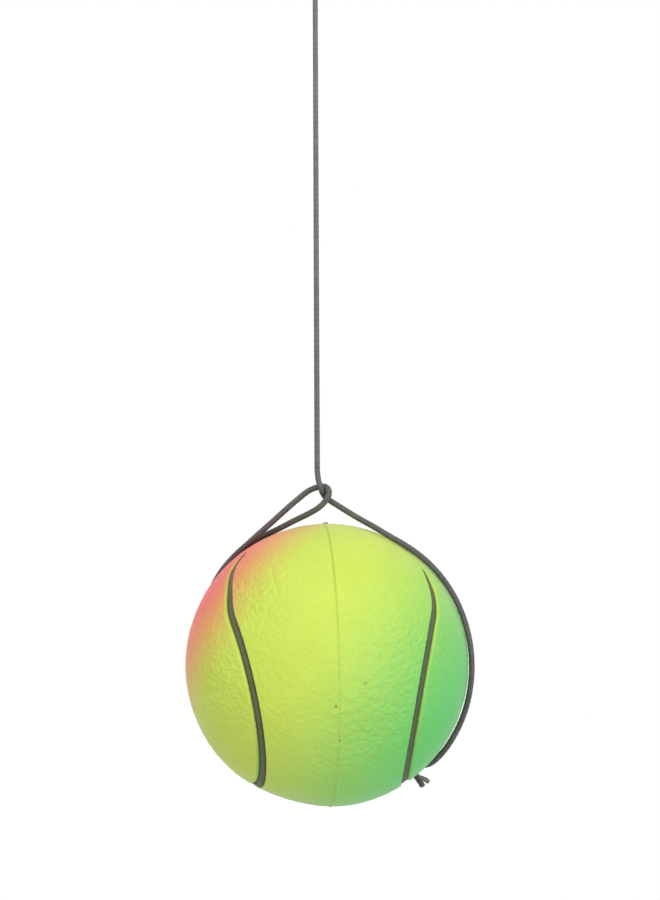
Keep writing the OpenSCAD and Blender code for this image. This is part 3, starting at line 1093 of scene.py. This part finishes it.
def paint_material():
    """Dull dark paint whose edges are darkened as painted shade from the groove's walls, tinted a little by
    the two sprays.
    """
    n = Nodes("seam_paint")
    colour = n.mix(n.ramp(n.attribute("edge"), low=0.25, high=0.95), PAINT_MIDDLE, PAINT_SIDE_SHADE)
    colour = n.mix(n.math("MULTIPLY", n.attribute("green"), PAINT_GREEN_SHARE), colour, PAINT_GREEN)
    colour = n.mix(n.math("MULTIPLY", n.attribute("pink"), PAINT_PINK_SHARE), colour, PAINT_PINK)
    blotch = n.noise(scale=900, detail=3)
    colour = n.mix(n.ramp(blotch, low=0.4, high=0.7, out_high=0.3), colour, PAINT_BLOTCH)
    fine = n.noise(scale=4200, detail=2)
    normal = n.bump(fine, distance=0.04 * MM, strength=0.6)
    return n.finish(colour, normal, Roughness=0.55, Specular_IOR_Level=0.4)


def make_seam_paint():
    points, quads, values = paint_form()
    paint = add_mesh("seam_paint_line", points, quads.tolist(), paint_material(), values)
    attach(paint, "ball")
    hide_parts("seam_line")


# The nib: its rings and sides, radius, height, start below the skin, place right of the line, depth as a
# share of its width, how far its top closes and how blunt it is
NIB_RINGS = 14
NIB_SIDES = 28
NIB_R = 0.52 * MM
NIB_HIGH = 0.5 * MM
NIB_SUNK = 0.3 * MM
NIB_RIGHT = 0.3 * MM
NIB_DEPTH = 0.8
NIB_CLOSES = 0.94
NIB_BLUNT = 0.55

# Waves of its torn edge: how many go round it, their size as a share of the radius, and their start angle;
# and those of its crooked top, with their size as a height
NIB_TEARS = [(3, 0.16, 1), (7, 0.08, 0)]
NIB_CROOKED = (2, 0.06 * MM, 0.6)

NIB_PALE = srgb(132, 124, 72)
NIB_DARK = srgb(96, 88, 50)


def nib_material():
    n = Nodes("nib_rubber")
    patch = n.noise(scale=2500, detail=3)
    colour = n.mix(n.ramp(patch, low=0.35, high=0.65), NIB_PALE, NIB_DARK)
    return n.finish(colour, n.bump(patch, distance=0.08 * MM), Roughness=0.7)


def wave(turn, count, size, start):
    return size * np.sin(count * turn + start)


def make_nib():
    """The torn nib of flash at the top of the mould line."""
    level = np.linspace(0, 1, NIB_RINGS)
    turn = 2 * np.pi * np.arange(NIB_SIDES) / NIB_SIDES
    radius = NIB_R * np.cos(level * math.pi / 2 * NIB_CLOSES) ** NIB_BLUNT
    height = BALL_R - NIB_SUNK + NIB_HIGH * np.sin(level * math.pi / 2)
    torn = 1 + sum(wave(turn, *tear) for tear in NIB_TEARS)
    x = NIB_RIGHT + radius[:, None] * (np.cos(turn) * torn)[None]
    y = NIB_DEPTH * radius[:, None] * (np.sin(turn) * torn)[None]
    z = height[:, None] + level[:, None] * wave(turn, *NIB_CROOKED)[None]
    points = BALL_MIDDLE + np.stack([x, y, z], axis=-1).reshape(-1, 3) @ BALL_TURN.T
    nib = add_mesh("sprue_nib", points, tube_faces(NIB_RINGS, NIB_SIDES), nib_material())
    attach(nib, "ball")


make_ball()
make_seam_paint()
make_nib()

# Stage and light

# The floor: its height, radius and sides, the shares of the radius where it fades out, and its two greys
FLOOR_Z = -0.36
FLOOR_R = 0.9
FLOOR_SIDES = 96
FLOOR_FADE = (0.45, 0.98)
FLOOR_PALE = (0.76, 0.76, 0.76, 1)
FLOOR_DARK = (0.73, 0.73, 0.73, 1)

WHITE = (1, 1, 1, 1)
AMBIENT = 0.62
LAMP_DISTANCE = 1.3
LAMP_SIZE = 0.9
# Soft lamps: the direction that each shines from, and its power in watts
LAMPS = {"above": ((-0.17, -0.62, 0.77), 5.7), "right": ((0.63, -0.75, 0.17), 5.2)}


def make_floor():
    """A pale round floor below the hanging ball, which fades out at its rim."""
    n = Nodes("floor_white")
    far = n.distance_from((0, 0, 0))
    cloud = n.noise(scale=3, detail=2)
    colour = n.mix(n.ramp(cloud, low=0.3, high=0.7), FLOOR_PALE, FLOOR_DARK)
    fade_start, fade_end = FLOOR_FADE
    shown = n.ramp(far, low=fade_start * FLOOR_R, high=fade_end * FLOOR_R, out_low=1.0, out_high=0.0)
    n.link(shown, n.shader.inputs["Alpha"])
    material = n.finish(colour, Roughness=0.9)
    turn = 2 * np.pi * np.arange(FLOOR_SIDES) / FLOOR_SIDES
    rim = np.stack([FLOOR_R * np.cos(turn), FLOOR_R * np.sin(turn), np.zeros(FLOOR_SIDES)], axis=1)
    floor = add_mesh("floor", rim, [list(range(FLOOR_SIDES))], material)
    floor.location = (BALL_MIDDLE[0], 0, FLOOR_Z)


def make_world():
    """Even white surroundings, which the camera and shiny surfaces see as white."""
    world = bpy.data.worlds.new("studio")
    world.use_nodes = True
    tree = world.node_tree
    tree.nodes.clear()
    lit = tree.nodes.new("ShaderNodeBackground")
    lit.inputs["Strength"].default_value = AMBIENT
    seen = tree.nodes.new("ShaderNodeBackground")
    seen.inputs["Strength"].default_value = 1
    for node in (lit, seen):
        node.inputs["Color"].default_value = WHITE
    path = tree.nodes.new("ShaderNodeLightPath")
    either = tree.nodes.new("ShaderNodeMath")
    either.operation = "MAXIMUM"
    tree.links.new(path.outputs["Is Camera Ray"], either.inputs[0])
    tree.links.new(path.outputs["Is Glossy Ray"], either.inputs[1])
    pick = tree.nodes.new("ShaderNodeMixShader")
    tree.links.new(either.outputs[0], pick.inputs[0])
    tree.links.new(lit.outputs[0], pick.inputs[1])
    tree.links.new(seen.outputs[0], pick.inputs[2])
    out = tree.nodes.new("ShaderNodeOutputWorld")
    tree.links.new(pick.outputs[0], out.inputs["Surface"])
    bpy.context.scene.world = world


def make_lamps():
    """Large soft lamps that shine at the ball, outside the camera's sight."""
    for name, (direction, watts) in LAMPS.items():
        lamp = bpy.data.lights.new(name, "AREA")
        lamp.energy = watts
        lamp.shape = "DISK"
        lamp.size = LAMP_SIZE
        holder = bpy.data.objects.new(name, lamp)
        bpy.context.scene.collection.objects.link(holder)
        away = Vector(direction).normalized()
        holder.location = Vector(BALL_MIDDLE) + away * LAMP_DISTANCE
        holder.rotation_mode = "QUATERNION"
        holder.rotation_quaternion = away.to_track_quat("Z", "Y")
        holder.visible_camera = False


make_floor()
make_world()
make_lamps()
bpy.context.scene.view_settings.view_transform = "Standard"
